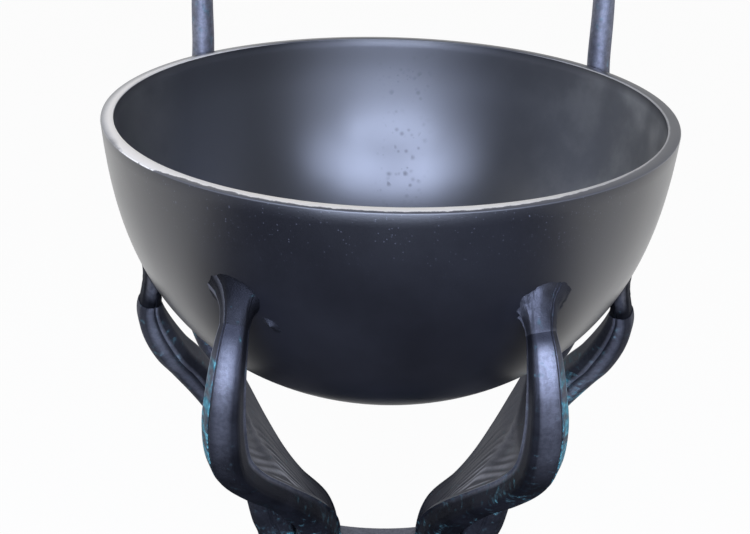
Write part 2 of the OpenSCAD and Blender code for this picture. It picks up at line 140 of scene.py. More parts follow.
def skin(bm, rings):
    """Faces between rings of points; a ring of one point is a pole."""
    rows = [[bm.verts.new(p) for p in ring] for ring in rings]
    for low, high in zip(rows, rows[1:]):
        n = max(len(low), len(high))
        for i in range(n):
            j = (i + 1) % n
            corners = [low[i % len(low)], low[j % len(low)], high[j % len(high)], high[i % len(high)]]
            face = list(dict.fromkeys(corners))
            if len(face) > 2:
                bm.faces.new(face)
    return rows


def paint(bm, layer, rows, value):
    """Writes value(ring share, point share, place) on every vertex of the rows."""
    marks = bm.verts.layers.float[layer]
    for k, row in enumerate(rows):
        for i, vert in enumerate(row):
            vert[marks] = value(k / max(len(rows) - 1, 1), i / len(row), vert.co)


def paint_evenly(bm, layer, rows, value):
    paint(bm, layer, rows, lambda k, i, p: value)


def finish_piece(name, bm, material, slot, *replaced, sharp=SHARP_ANGLE):
    """Turns a mesh into a piece that rides on the one body and stands for its CAD nodes."""
    bmesh.ops.recalc_face_normals(bm, faces=bm.faces)
    mesh = bpy.data.meshes.new(name)
    bm.to_mesh(mesh)
    bm.free()
    mesh.polygons.foreach_set("use_smooth", [True] * len(mesh.polygons))
    mesh.set_sharp_from_angle(angle=math.radians(sharp))
    mesh.materials.append(material)
    piece = bpy.data.objects.new(name, mesh)
    bpy.context.scene.collection.objects.link(piece)
    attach(piece, "root")
    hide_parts(*replaced)


def mirror_left(bm, side):
    if side < 0:
        for vert in bm.verts:
            vert.co.x = -vert.co.x


def cut_at_seat(bm):
    """Cuts an arm's foot flat where it stands on the crown."""
    everything = bm.verts[:] + bm.edges[:] + bm.faces[:]
    cut = bmesh.ops.bisect_plane(bm, geom=everything, plane_co=(0, 0, SEAT_Z), plane_no=(0, 0, 1),
                                 clear_inner=True)
    rim = [e for e in cut["geom_cut"] if isinstance(e, bmesh.types.BMEdge)]
    bmesh.ops.holes_fill(bm, edges=rim)


def end_in_wall(bm):
    """Ends an arm's tip inside the bowl's wall."""
    def sunk(p):
        return p.z < RIM_Z and math.hypot(p.x, p.y) < bowl_at(RIM_Z - p.z) - TIP_SINK
    bmesh.ops.delete(bm, geom=[v for v in bm.verts if sunk(v.co)], context="VERTS")
    bmesh.ops.holes_fill(bm, edges=[e for e in bm.edges if e.is_boundary])


# Shader nodes

def fill(tree, socket, value):
    """Links another node's output to a socket, or sets the socket's own value."""
    if isinstance(value, bpy.types.NodeSocket):
        tree.links.new(value, socket)
    else:
        socket.default_value = value


def put(tree, kind, values=None, **settings):
    """Adds a node; its inputs are filled with numbers, colours or other nodes' outputs."""
    node = tree.nodes.new("ShaderNode" + kind)
    for name, value in settings.items():
        setattr(node, name, value)
    for socket, value in (values or {}).items():
        fill(tree, node.inputs[socket], value)
    return node


def calc(tree, operation, a, b=0.0):
    return put(tree, "Math", {0: a, 1: b}, operation=operation).outputs[0]


def times(tree, *factors):
    """The product of masks and values."""
    product = factors[0]
    for factor in factors[1:]:
        product = calc(tree, "MULTIPLY", product, factor)
    return product


def minus(tree, a, b):
    return calc(tree, "SUBTRACT", a, b)


def larger(tree, a, b):
    return calc(tree, "MAXIMUM", a, b)


def ramp(tree, value, low, high, start=0.0, end=1.0):
    """Goes smoothly from start to end while value goes from low to high."""
    return put(tree, "MapRange", {"Value": value, "From Min": low, "From Max": high, "To Min": start,
                                  "To Max": end}, interpolation_type="SMOOTHSTEP").outputs[0]


def blend(tree, mask, a, b):
    """Colour a where the mask is 0 and colour b where it is 1."""
    return put(tree, "Mix", {0: mask, 6: a, 7: b}, data_type="RGBA").outputs[2]


def level(tree, mask, a, b):
    """Value a where the mask is 0 and value b where it is 1."""
    return put(tree, "Mix", {0: mask, 2: a, 3: b}, data_type="FLOAT").outputs[0]


def noise_at(tree, place, scale, detail=4.0, roughness=0.5):
    return put(tree, "TexNoise", {"Vector": place, "Scale": scale, "Detail": detail,
                                  "Roughness": roughness}).outputs["Fac"]


def here(tree):
    return put(tree, "TexCoord").outputs["Object"]


def painted(tree, layer):
    """The value that was painted on a mesh's vertices."""
    return put(tree, "Attribute", attribute_name=layer).outputs["Fac"]


def start_group(name, inputs, outputs):
    tree = bpy.data.node_groups.new(name, "ShaderNodeTree")
    for socket, value in inputs.items():
        tree.interface.new_socket(socket, in_out="INPUT", socket_type="NodeSocketFloat").default_value = value
    for socket, kind in outputs.items():
        tree.interface.new_socket(socket, in_out="OUTPUT", socket_type="NodeSocket" + kind)
    return tree, tree.nodes.new("NodeGroupInput").outputs, tree.nodes.new("NodeGroupOutput").inputs


def use_group(tree, group, **values):
    node = tree.nodes.new("ShaderNodeGroup")
    node.node_tree = group
    for name, value in values.items():
        fill(tree, node.inputs[name.capitalize()], value)
    return node.outputs


def start_material(name):
    material = bpy.data.materials.new(name)
    material.use_nodes = True
    tree = material.node_tree
    return material, tree, tree.nodes["Principled BSDF"]


def finish_shader(tree, shader, height, bump_distance, bump_strength, **inputs):
    for name, value in inputs.items():
        fill(tree, shader.inputs[name.replace("_", " ").title()], value)
    bump = put(tree, "Bump", {"Height": height, "Distance": bump_distance, "Strength": bump_strength})
    tree.links.new(bump.outputs["Normal"], shader.inputs["Normal"])


# Finishes; a pair of colours is mixed in clouds

PAINT = ((0.006, 0.0062, 0.009, 1), (0.01, 0.0105, 0.0145, 1))
# Burnished metal inside the bowl: painted highlight down the middle, painted shade on the sides and under the
# rim
POLISH_SHADED_ASIDE = (0.115, 0.118, 0.128, 1)
POLISH_LIT_MIDDLE = (0.25, 0.256, 0.278, 1)
POLISH_SHADED_UNDER_RIM = (0.04, 0.041, 0.045, 1)
DULL_FILM = (0.42, 0.41, 0.375, 1)
# The pits' dark colour is painted shade in the dents
PIT_SHADE = (0.06, 0.06, 0.07, 1)
DUST = (0.07, 0.075, 0.095, 1)
# The paint on the rim's top face, painted lighter: a painted sheen of the bright room at a grazing view
RIM_PAINT_SHEEN = (0.09, 0.09, 0.097, 1)
GROUND_STEEL = ((0.95, 0.9, 0.82, 1), (1.0, 0.96, 0.9, 1))
# Bare rim steel painted darker towards the right: painted shade
STEEL_IN_PAINTED_SHADE = (0.5, 0.49, 0.47, 1)
PATINA = (0.024, 0.025, 0.032)
PATINA_CLOUDS = (1, 1.9)
PATINA_SPECULAR = (0.55, 0.56, 0.6, 1)
# Lavender of the painted sheen: painted highlights on the arms' lit faces
SHEEN_COLOURS = ((0.22, 0.225, 0.27, 1), (0.32, 0.33, 0.38, 1))
VERDIGRIS = ((0.03, 0.13, 0.16, 1), (0.11, 0.31, 0.34, 1))
BRIGHT_STEEL = ((0.42, 0.42, 0.43, 1), (0.6, 0.6, 0.62, 1))
RUBBER = ((0.012, 0.012, 0.012, 1), (0.03, 0.03, 0.03, 1))

# Roughness, metal and coat of the bowl. The pairs: mixed in clouds, from clean to filmed metal, and from the
# outside to the inside
PAINT_ROUGHNESS = (0.31, 0.37)
FILM_ROUGHNESS = 0.55
PIT_ROUGHNESS = 0.45
RIM_ROUGHNESS = 0.42
RIM_METAL = 0.5
BURNISHED_METAL = (0.78, 0.05)
CLEAR_COAT = (0.5, 1.0)
COAT_ROUGHNESS = 0.34
# How far the pits are painted darker, as painted shade
PIT_SHADE_SHARE = 0.4
PIT_DEPTH = 0.5
# How much the rim's top face takes that lighter painted sheen
RIM_SHEEN_COVER = 0.8
# Roughness and metal of the arms. The pairs: mixed in clouds, and from patinated metal to verdigris
PATINA_ROUGHNESS = (0.46, 0.56)
VERDIGRIS_ROUGHNESS = 0.75
PATINA_METAL = (0.85, 0.0)

# Where the bowl's finish and its painted light change, from and to: heights, and places across and along from
# its axis
DUST_Z = (RIM_Z - 35 * MM, RIM_Z - 5 * MM)
# Painted shade on the inside just under the rim, from and to
SHADED_UNDER_RIM_Z = (RIM_Z - 35 * MM, RIM_Z - 8 * MM)
RIM_FACE_Z = (RIM_Z - RIM_BEVEL, RIM_Z - 0.6 * RIM_BEVEL)
# The inside is painted lighter towards the middle, a painted highlight: from the sides to the middle
POLISH_LIT_SPAN = (100 * MM, 40 * MM)
FILM_RIGHT_X = (60 * MM, 120 * MM)
FILM_RIGHT_Y = (100 * MM, 0)
FILM_LEFT_X = (-128 * MM, -147 * MM)
PIT_COLUMN_X = 12 * MM
PIT_COLUMN_SIDES = (24 * MM, 8 * MM)
PIT_COLUMN_Y = (50 * MM, 90 * MM)
# On the rim's left end the edge of the bare metal is a soft gradient, a painted shading of a rounded edge:
# from and to
SOFT_RIM_X = (-60 * MM, -100 * MM)
SOFT_RIM_Y = (-100 * MM, -70 * MM)
# The rim's bare steel is painted darker towards the right, a painted shade: from and to across
STEEL_SHADE_X = (40 * MM, 140 * MM)


def cast_grain_group():
    """The skin of a painted casting: fine grain, and slow clouds in its sheen."""
    tree, given, out = start_group("cast_grain", {"Grain": 900.0, "Cloud": 18.0},
                                   {"Height": "Float", "Clouds": "Float"})
    place = here(tree)
    fine = noise_at(tree, place, given["Grain"], detail=3.0, roughness=0.6)
    broad = noise_at(tree, place, given["Cloud"], detail=5.0, roughness=0.6)
    tree.links.new(level(tree, 0.25, fine, broad), out["Height"])
    tree.links.new(ramp(tree, broad, 0.3, 0.7), out["Clouds"])
    return tree


def dust_specks_group():
    """Small spots, sparse and uneven in size; Core is the share of a spot that is not blurred."""
    tree, given, out = start_group("dust_specks", {"Scale": 220.0, "Share": 0.06, "Size": 0.2, "Core": 0.5},
                                   {"Mask": "Float"})
    spots = put(tree, "TexVoronoi", {"Vector": here(tree), "Scale": given["Scale"]})
    pick = put(tree, "SeparateColor", {"Color": spots.outputs["Color"]}).outputs
    reach = times(tree, given["Size"], pick["Green"])
    spot = ramp(tree, calc(tree, "DIVIDE", spots.outputs["Distance"], reach), 1.0, given["Core"])
    chosen = calc(tree, "LESS_THAN", pick["Red"], given["Share"])
    tree.links.new(times(tree, spot, chosen), out["Mask"])
    return tree


def verdigris_group():
    """Turquoise bloom in flakes with a haze round them, where Amount lets it show."""
    tree, given, out = start_group("verdigris", {"Amount": 0.0, "Scale": 150.0},
                                   {"Mask": "Float", "Colour": "Color"})
    place = here(tree)
    grown = noise_at(tree, place, given["Scale"], detail=5.0, roughness=0.62)
    over = minus(tree, grown, level(tree, given["Amount"], 0.78, 0.47))
    flakes = ramp(tree, over, 0.0, 0.045)
    haze = ramp(tree, over, -0.14, 0.04, end=0.5)
    tree.links.new(larger(tree, flakes, haze), out["Mask"])
    pale = ramp(tree, noise_at(tree, place, 420.0), 0.35, 0.7)
    tree.links.new(blend(tree, pale, *VERDIGRIS), out["Colour"])
    return tree


cast_grain = cast_grain_group()
dust_specks = dust_specks_group()
verdigris = verdigris_group()


def film_mask(tree, place, x, y):
    """A dull film, thickest on the right wall towards the front."""
    right_wall = times(tree, ramp(tree, x, *FILM_RIGHT_X), ramp(tree, y, *FILM_RIGHT_Y, start=0.25))
    left_wall = ramp(tree, x, *FILM_LEFT_X, end=0.3)
    cloudy = ramp(tree, noise_at(tree, place, 26.0, detail=6.0, roughness=0.62), 0.34, 0.66, start=0.5)
    return times(tree, larger(tree, right_wall, left_wall), cloudy)


def pit_mask(tree, place, x, y):
    """Pits that run down the back wall in a broken column."""
    aside = calc(tree, "ABSOLUTE", minus(tree, x, PIT_COLUMN_X))
    broken = ramp(tree, noise_at(tree, place, 45.0), 0.38, 0.54)
    pits = use_group(tree, dust_specks, scale=230.0, share=0.8, size=0.75, core=0.0)["Mask"]
    return times(tree, pits, ramp(tree, aside, *PIT_COLUMN_SIDES), broken, ramp(tree, y, *PIT_COLUMN_Y))


def bare_rim_mask(tree, place, x, y):
    """Bare metal from the rim's inner edge, chipped, and on the left end a soft gradient that is painted
    shading of a rounded edge.
    """
    width = painted(tree, "worn_width")
    radius = calc(tree, "SQRT", calc(tree, "ADD", times(tree, x, x), times(tree, y, y)))
    across = calc(tree, "DIVIDE", minus(tree, radius, BOWL_R - BOWL_WALL), BOWL_WALL)
    soft = times(tree, ramp(tree, y, *SOFT_RIM_Y), ramp(tree, x, *SOFT_RIM_X))
    chips = minus(tree, noise_at(tree, place, 160.0, detail=6.0, roughness=0.65), 0.5)
    ragged = times(tree, chips, width, level(tree, soft, 0.8, 0.16))
    past_edge = minus(tree, calc(tree, "ADD", across, ragged), width)
    return ramp(tree, calc(tree, "DIVIDE", past_edge, level(tree, soft, 0.06, 0.4)), 1.0, -1.0)


def bowl_paint_material():
    """Satin blue-black paint, burnished inside under a clear coat and worn through along the rim."""
    material, tree, shader = start_material("bowl_paint")
    place = here(tree)
    x, y, z = put(tree, "SeparateXYZ", {"Vector": place}).outputs
    inside = painted(tree, "inside")
    outside = minus(tree, 1.0, inside)
    on_rim = ramp(tree, z, *RIM_FACE_Z)
    grain = use_group(tree, cast_grain, grain=1100.0, cloud=14.0)
    clouds = grain["Clouds"]
    specks = use_group(tree, dust_specks, scale=900.0, share=0.35, size=0.36)["Mask"]
    specks = times(tree, specks, ramp(tree, z, *DUST_Z, start=0.05, end=0.8), outside)
    film = times(tree, film_mask(tree, place, x, y), inside)
    pits = times(tree, pit_mask(tree, place, x, y), inside)
    # The pits are painted darker, a painted shade in the dents, and lose some of the clear coat
    shaded_pits = times(tree, pits, PIT_SHADE_SHARE)
    bare = times(tree, bare_rim_mask(tree, place, x, y), on_rim)

    # Painted highlight down the middle of the burnished inside, painted shade on its sides and just under the
    # rim
    polish_and_painted_light = blend(tree, ramp(tree, calc(tree, "ABSOLUTE", x), *POLISH_LIT_SPAN), POLISH_SHADED_ASIDE, POLISH_LIT_MIDDLE)
    polish_and_painted_light = blend(tree, ramp(tree, z, *SHADED_UNDER_RIM_Z, end=0.4), polish_and_painted_light, POLISH_SHADED_UNDER_RIM)
    colour = blend(tree, inside, blend(tree, clouds, *PAINT), polish_and_painted_light)
    # The pits are painted darker and the rim's top face lighter: painted shade and painted sheen
    for mask, over in ((film, DULL_FILM), (shaded_pits, PIT_SHADE), (specks, DUST),
                       (times(tree, on_rim, RIM_SHEEN_COVER), RIM_PAINT_SHEEN)):
        colour = blend(tree, mask, colour, over)
    # The bare rim steel, with painted shade towards the right
    steel = blend(tree, clouds, *GROUND_STEEL)
    steel = blend(tree, ramp(tree, x, *STEEL_SHADE_X), steel, STEEL_IN_PAINTED_SHADE)

    rough = level(tree, clouds, *PAINT_ROUGHNESS)
    for mask, over in ((film, FILM_ROUGHNESS), (pits, PIT_ROUGHNESS), (bare, RIM_ROUGHNESS)):
        rough = level(tree, mask, rough, over)
    burnished = times(tree, inside, level(tree, film, *BURNISHED_METAL))
    metal = larger(tree, times(tree, bare, RIM_METAL), burnished)
    coat = times(tree, level(tree, inside, *CLEAR_COAT), minus(tree, 1.0, larger(tree, bare, shaded_pits)))
    height = minus(tree, grain["Height"], times(tree, pits, PIT_DEPTH))
    finish_shader(tree, shader, height, 0.05 * MM, 0.5, base_color=blend(tree, bare, colour, steel),
                  roughness=rough, metallic=metal, coat_weight=coat, coat_roughness=COAT_ROUGHNESS)
    return material


def arm_finish_material(name, bloom=1.0, shade=1.0):
    """Blue-black patinated castings with a mottled lavender painted sheen where highlights fall, bloomed with
    verdigris.
    """
    material, tree, shader = start_material(name)
    grain = use_group(tree, cast_grain, grain=1500.0, cloud=30.0)
    clouds = grain["Clouds"]
    green = use_group(tree, verdigris, amount=times(tree, painted(tree, "bloom"), bloom), scale=190.0)
    dark = blend(tree, clouds, *((*(shade * cloud * part for part in PATINA), 1) for cloud in PATINA_CLOUDS))
    mottled = ramp(tree, noise_at(tree, here(tree), 420.0, detail=3.0, roughness=0.6), 0.3, 0.7, 0.72, 1.12)
    # Painted sheen: a mottled lavender painted highlight where the vertices were given painted light
    sheen_share = times(tree, painted(tree, "painted_sheen"), mottled)
    colour = blend(tree, sheen_share, dark, blend(tree, clouds, *SHEEN_COLOURS))
    colour = blend(tree, green["Mask"], colour, green["Colour"])
    rough = level(tree, green["Mask"], level(tree, clouds, *PATINA_ROUGHNESS), VERDIGRIS_ROUGHNESS)
    finish_shader(tree, shader, grain["Height"], 0.4 * MM, 0.6, base_color=colour, roughness=rough,
                  metallic=level(tree, green["Mask"], *PATINA_METAL), specular_tint=PATINA_SPECULAR)
    return material


def grained_material(name, grain, cloud, colours, roughness, metallic, bump_distance, bump_strength):
    """A plain grained finish for the stand's small parts."""
    material, tree, shader = start_material(name)
    cast = use_group(tree, cast_grain, grain=grain, cloud=cloud)
    finish_shader(tree, shader, cast["Height"], bump_distance, bump_strength,
                  base_color=blend(tree, cast["Clouds"], *colours),
                  roughness=level(tree, cast["Clouds"], *roughness), metallic=metallic)
    return material


bowl_paint = bowl_paint_material()
arm_finish = arm_finish_material("arm_finish")
weld_finish = arm_finish_material("weld_finish", bloom=0.6)
painted_weld = arm_finish_material("painted_weld", bloom=0.3, shade=0.4)
stand_finish = arm_finish_material("stand_finish", bloom=0.3)
bright_steel = grained_material("bright_steel", 2200.0, 60.0, BRIGHT_STEEL, (0.28, 0.42), 1.0, 0.1 * MM, 0.4)
pad_rubber = grained_material("pad_rubber", 1600.0, 80.0, RUBBER, (0.7, 0.85), 0.0, 0.3 * MM, 0.5)


# The bowl

BOWL_TURNS = 288
BOWL_STEPS = 84
# A rim edge is eased by one point between its two ends, this share of the bevel from the corner
EASED_CORNER = 0.3
# How much of the rim is bare, from its inner edge, at angles from the front
RIM_WEAR = [
    (-180, -0.2), (-145, -0.05), (-120, 0.4), (-100, 0.6), (-75, 0.7), (-57, 0.75), (-51, 1.1), (-43, 1.05),
    (-37, 0.66), (-30, 0.6), (-15, 0.72), (10, 0.75), (22, 0.6), (34, 0.4), (48, 0.24), (60, 0.16),
    (110, 0.12), (140, 0), (180, -0.2)]


def bowl_curve(radius, depth):
    """A wall's outline from the rim to the bottom, without its two ends."""
    power = 2 / BOWL_FULLNESS
    turns = [math.pi / 2 * i / BOWL_STEPS for i in range(1, BOWL_STEPS)]
    return [(radius * math.cos(t) ** power, RIM_Z - depth * math.sin(t) ** power) for t in turns]


def worn_width(p):
    angle = math.degrees(math.atan2(p.x, -p.y))
    for (low, start), (high, end) in zip(RIM_WEAR, RIM_WEAR[1:]):
        if angle <= high:
            return mix(start, end, (angle - low) / (high - low))
    return RIM_WEAR[-1][1]


def make_fire_bowl():
    inner_r, bevel_z, eased = BOWL_R - BOWL_WALL, RIM_Z - RIM_BEVEL, EASED_CORNER * RIM_BEVEL
    outer = [p for p in reversed(bowl_curve(BOWL_R, BOWL_DEPTH)) if p[1] < bevel_z]
    inner = [p for p in bowl_curve(inner_r, BOWL_DEPTH - BOWL_WALL) if p[1] < bevel_z]
    rim = [(BOWL_R, bevel_z), (BOWL_R - eased, RIM_Z - eased), (BOWL_R - RIM_BEVEL, RIM_Z),
           (inner_r + RIM_BEVEL, RIM_Z), (inner_r + eased, RIM_Z - eased), (inner_r, bevel_z)]
    rings = [[polar(r, 360 * i / BOWL_TURNS, z) for i in range(BOWL_TURNS)] for r, z in outer + rim + inner]
    underside = [Vector((0, 0, RIM_Z - BOWL_DEPTH))]
    floor_of_bowl = [Vector((0, 0, RIM_Z - BOWL_DEPTH + BOWL_WALL))]
    bm = start_mesh("inside", "worn_width")
    rows = skin(bm, [underside] + rings + [floor_of_bowl])
    inner_start = 1 + len(outer) + len(rim)
    paint_evenly(bm, "inside", rows[inner_start:], 1.0)
    paint(bm, "worn_width", rows, lambda k, i, p: worn_width(p))
    finish_piece("fire_bowl_skin", bm, bowl_paint, "bowl_paint", "fire_bowl")


# The arms

# Centre line of an antler's rail, from its foot to the bowl: reach, angle, rise, half width and half depth
RAIL = [
    [0, 75, -0.08, 16, 13], [0, 68, 0, 16, 13], [0.02, 60, 0.11, 15.5, 12.5], [0.07, 50, 0.22, 14.5, 12],
    [0.177, 39, 0.315, 13, 11], [0.354, 35, 0.405, 11, 9.5], [0.59, 33.2, 0.505, 8.2, 8],
    [0.807, 32, 0.589, 8.2, 8], [0.984, 30.5, 0.668, 9.5, 8], [1.1, 28.3, 0.74, 9.8, 8],
    [1.171, 26.2, 0.822, 9.3, 7.5], [1.181, 24.9, 0.889, 8.2, 7], [1.14, 24.7, 0.938, 7.2, 6.5],
    [1.06, 25.2, 0.975, 6, 6], [0.97, 25.7, 1.005, 6, 6], [0.88, 26, 1.025, 6, 6]]
# Both edges of the palm behind the rail: reach, angle, rise and half thickness
PALM_ROOT = [
    [0, 75, -0.08, 12], [0, 68, 0, 12], [0.02, 60, 0.11, 11], [0.07, 50, 0.22, 10], [0.177, 39, 0.315, 8],
    [0.354, 35, 0.405, 6.5], [0.57, 34, 0.505, 5.5], [0.78, 33, 0.589, 5], [0.95, 31.5, 0.668, 5],
    [0.98, 31, 0.68, 2]]
PALM_EDGE = [
    [0, 98, -0.08, 17], [0.02, 107, 0, 17], [0.02, 113, 0.08, 16], [0.08, 117, 0.14, 13],
    [0.26, 117, 0.19, 9.5], [0.4, 115.5, 0.25, 9], [0.52, 113.5, 0.335, 8.5], [0.63, 112, 0.42, 8.5],
    [0.73, 111.5, 0.485, 8.5], [0.745, 111.4, 0.497, 5]]
# The side tine, by the same values: its foot with reaches in mm, a lower part that goes with the antler,
# and an upper part that goes with its own weld
SIDE_FOOT = [[75, 92, -0.08, 10.5, 13], [75, 91, 0, 10.5, 13.5]]
SIDE_LOW = [
    [0.26, 90, 0.122, 10, 14], [0.307, 89, 0.1875, 10, 13.5], [0.371, 87, 0.306, 9.5, 11.5],
    [0.455, 84.5, 0.419, 9.5, 8], [0.54, 81, 0.494, 9, 7]]
SIDE_HIGH = [
    [0.715, 78.5, 0.66, 10, 9.5], [0.832, 75, 0.748, 10, 10.5], [0.92, 71, 0.81, 9.5, 10],
    [0.99, 68, 0.873, 9, 9], [1.03, 65.5, 0.928, 8, 7.5], [1.035, 63.5, 0.968, 6.5, 6],
    [0.99, 62.5, 1, 5.5, 5], [0.9, 62.5, 1.04, 5, 4]]
# The rear tine from the palm's back corner: reach, share of the turn to its own angle, rise and half width
PALM_CORNER_ANGLE = 111.5
REAR_ROOT = [
    (0.73, 0, 0.485, 6.5), (0.85, 0.1, 0.515, 8.5), (1.03, 0.3, 0.585, 8.5), (1.14, 0.5, 0.68, 8.2),
    (1.19, 0.75, 0.83, 7.8)]
# Its rod beside the bowl: mm further out, turn and mm below the rim
REAR_BESIDE = [(6, -2, 50), (0, 0, 6)]
# Its rod above the rim: share of the rise and share of the taper
REAR_ABOVE = [(0.2, 0.12), (0.6, 0.5), (0.97, 1)]
REAR_ANGLES = {"left": 129.5, "right": 122.5}
REAR_GAP = 1 * MM
REAR_D = 14.6 * MM
REAR_TIP_D = 6 * MM
REAR_RISE = 179.4 * MM
REAR_LEAN = 12.5 * MM
REAR_TURN = 3
# Sections of the arms: across, outward and rounding of each corner, in half widths and half depths
RAIL_OUTLINE = [
    (1, -0.5, 0.2), (1, 0.12, 0.14), (0.54, 0.86, 0.05), (0.47, 0.8, 0.04), (0.4, 1, 0.05), (-0.68, 1, 0.22),
    (-0.94, 0.8, 0.1), (-1, 0.5, 0.1), (-1, -0.42, 0.04), (-1.1, -0.52, 0.05), (-0.96, -0.62, 0.04),
    (-0.6, -1, 0.2), (0.6, -1, 0.2)]
SIDE_OUTLINE = [
    (1, -0.6, 0.25), (1, 0.6, 0.25), (0.5, 1, 0.25), (-0.5, 1, 0.2), (-0.95, 0.55, 0.14), (-1, -0.08, 0.06),
    (-0.87, -0.2, 0.05), (-1, -0.34, 0.06), (-0.62, -0.95, 0.2), (0.5, -1, 0.25)]
# How far a rail turns with its place round the bowl: 0 faces the front and 1 faces outward
RAIL_FACING = 0.2
# The steps of the paths where the welds start, and how far the bars go on inside them
RAIL_NECK = 12.9
SIDE_NECK = 12
NECK_DEPTH = 0.12
# How finely the arms are divided
RINGS_PER_STEP = 12
ROD_RINGS_PER_STEP = 30
CORNER_STEPS = 5
FLAT_STEPS = 3
ROD_SIDES = 56
ROD_FULLNESS = 0.985
LOBE_POINTS = 17
INNER_POINTS = 132
OUTER_POINTS = 24
PALM_POINTS = 2 * LOBE_POINTS + OUTER_POINTS + INNER_POINTS - 2
# The palm's web, its scooped top, its flutes and the broad fold across them
PALM_THICKNESS = 9 * MM
THIN_CHORD = 34 * MM
PALM_SCOOP = 18 * MM
SCOOP_START = 0.6
SCOOP_END = 0.88
FLUTE_COUNT = 11
FLUTE_DEPTH = 1.6 * MM
FLUTE_WANDER = 0.8
FLUTE_SWEEP = 0.9
FLUTE_SWEEP_START = 0.5
FOLD_HEIGHT = 1.5 * MM
FOLD_LINE = 0.375
FOLD_WIDTH = 0.08
# Shares of the palm's height, from and to: where the flutes end, and where the fold starts and ends
FLUTE_END = (0.95, 0.6)
FOLD_START = (0.6, 0.7)
FOLD_END = (0.92, 0.86)
# Parts of a section that get painted highlights or bloom: from and to across, and from and to outward
FAR = math.inf
OUTER_STRIP = ((0.5, FAR), (0, FAR))
TINE_FACE = ((-FAR, FAR), (0.9, FAR))
INNER_BEAD = ((-FAR, -0.95), (-0.66, -0.36))
OUTER_EDGE = ((0.93, FAR), (-0.2, 0.3))
SIDE_RIDGE = ((-FAR, 0), (-FAR, FAR))
SIDE_LIP = ((-FAR, -0.9), (-0.5, -0.25))
# The painted highlight on the tine's face: its middle and its half width across
FACE_MIDDLE = -0.12
FACE_HALF = 0.6
# Where the arms bloom, in shares of their length: a centre and a reach
TINE_BLOOM = (0.79, 0.16)
ELBOW_BLOOM = (0.58, 0.16)
FOOT_BLOOM = (0, 0.5)
# On the left side tine the bloom at its foot is partly verdigris and partly a painted pool of light
SIDE_BLOOM_AND_LIGHT = {"left": (0.12, 0.14), "right": (0.58, 0.2)}
# Where painted highlight lines and painted sheen come in or go out, from and to, in the same shares
TINE_START = (0.66, 0.84)
BEAD_START = (0.35, 0.55)
BEAD_END = (0.92, 0.84)
EDGE_START = (0.6, 0.7)
RIDGES_END = (0.92, 0.67)
SIDE_START = (0.35, 0.65)
ROD_START = (0.42, 0.57)
# The palm's ridges get a painted highlight near the rail: from and to across the palm
RIDGES_ACROSS = (0.6, 0.25)
# The painted highlight on the side tine's ridge: a centre and a reach outward
SIDE_RIDGE_OUT = (0.2, 0.4)
# What differs between the antlers: how flat the painted highlight on the tine's face is, from where to
# where it fades at the neck, how strongly the tine's strip flakes and how much the elbow blooms
FACE_POWER = {"left": 2, "right": 5}
NECK_FADE = {"left": (0.965, 0.875), "right": (0.97, 0.94)}
FLAKING = {"left": 1.7, "right": 1.35}
ELBOW_SHARE = {"left": 0, "right": 0.34}
# How much the pieces bloom and carry painted sheen all over
ANTLER_BLOOM = 0.15
SIDE_TINE_BLOOM = 0.25
REAR_TINE_BLOOM = 0.3
DIM_SHEEN = 0.12
PALM_BACK_SHEEN = 0.1
PALM_BASE_SHEEN = 0.02
SIDE_BASE_SHEEN = 0.14
ROD_SHEEN = 0.85
# How much single places bloom and carry painted highlights
FOOT_SHARE = 0.8
STRIP_SHEEN = 0.25
RIDGE_SHEEN = 1.7
FOLD_SHEEN = 0.3
SIDE_RIDGE_SHEEN = 1.2
SIDE_LIP_SHEEN = 0.9


def rounded_outline(corners):
    """A closed outline whose corners are eased by curves."""
    arcs = []
    for i, (x, y, ease) in enumerate(corners):
        corner = Vector((x, y))
        before, after = (Vector(corners[j % len(corners)][:2]) - corner for j in (i - 1, i + 1))
        start, end = corner + before.normalized() * ease, corner + after.normalized() * ease
        turns = [k / CORNER_STEPS for k in range(CORNER_STEPS + 1)]
        arcs.append([(1 - t) ** 2 * start + 2 * t * (1 - t) * corner + t * t * end for t in turns])
    points = []
    for arc, following in zip(arcs, arcs[1:] + arcs[:1]):
        points += arc + [mix(arc[-1], following[0], k / FLAT_STEPS) for k in range(1, FLAT_STEPS)]
    return points


def spot_on(outline, share):
    """The point at a share of an outline's points."""
    return outline[int(share * len(outline) + 0.5) % len(outline)]


def within(spot, across, out):
    """1 for a point that lies in a part of a section, and else 0."""
    return float(across[0] < spot.x < across[1] and out[0] < spot.y < out[1])


def bar_rings(stations, outline, facing=1.0, per_step=RINGS_PER_STEP):
    """A bar along stations; it faces away from the bowl's axis, or the front where facing is 0."""
    rings = []
    for k in range((len(stations) - 1) * per_step + 1):
        u = k / per_step
        x, y, z, half_wide, half_deep = smooth_at(stations, u)
        t = heading(stations, u).normalized()
        away = polar(1, facing * math.degrees(math.atan2(x, -y)), 0)
        o = (away - away.dot(t) * t).normalized()
        w = t.cross(o)
        rings.append([Vector((x, y, z)) + half_wide * p.x * w + half_deep * p.y * o for p in outline])
    return rings


def groove(v, share):
    """How deep the palm's inner face is grooved, across the palm and up it; about 1.4 at most."""
    wander = FLUTE_WANDER * (math.sin(7 * share + 3 * v) + noise.noise((share * 7, v * 9, 3)))
    swept = v + FLUTE_SWEEP * max(0, share - FLUTE_SWEEP_START)
    phase = swept * FLUTE_COUNT + wander / math.pi
    crest = abs(math.sin(math.pi * phase))
    own = 0.6 + 0.8 * noise.noise((round(phase) * 3.7, share * 4, 8))
    fade = math.sin(math.pi * v) ** 0.5 * share_of(share, *FLUTE_END) * (1.4 - v)
    return fade * own * (1 - crest) ** 1.3


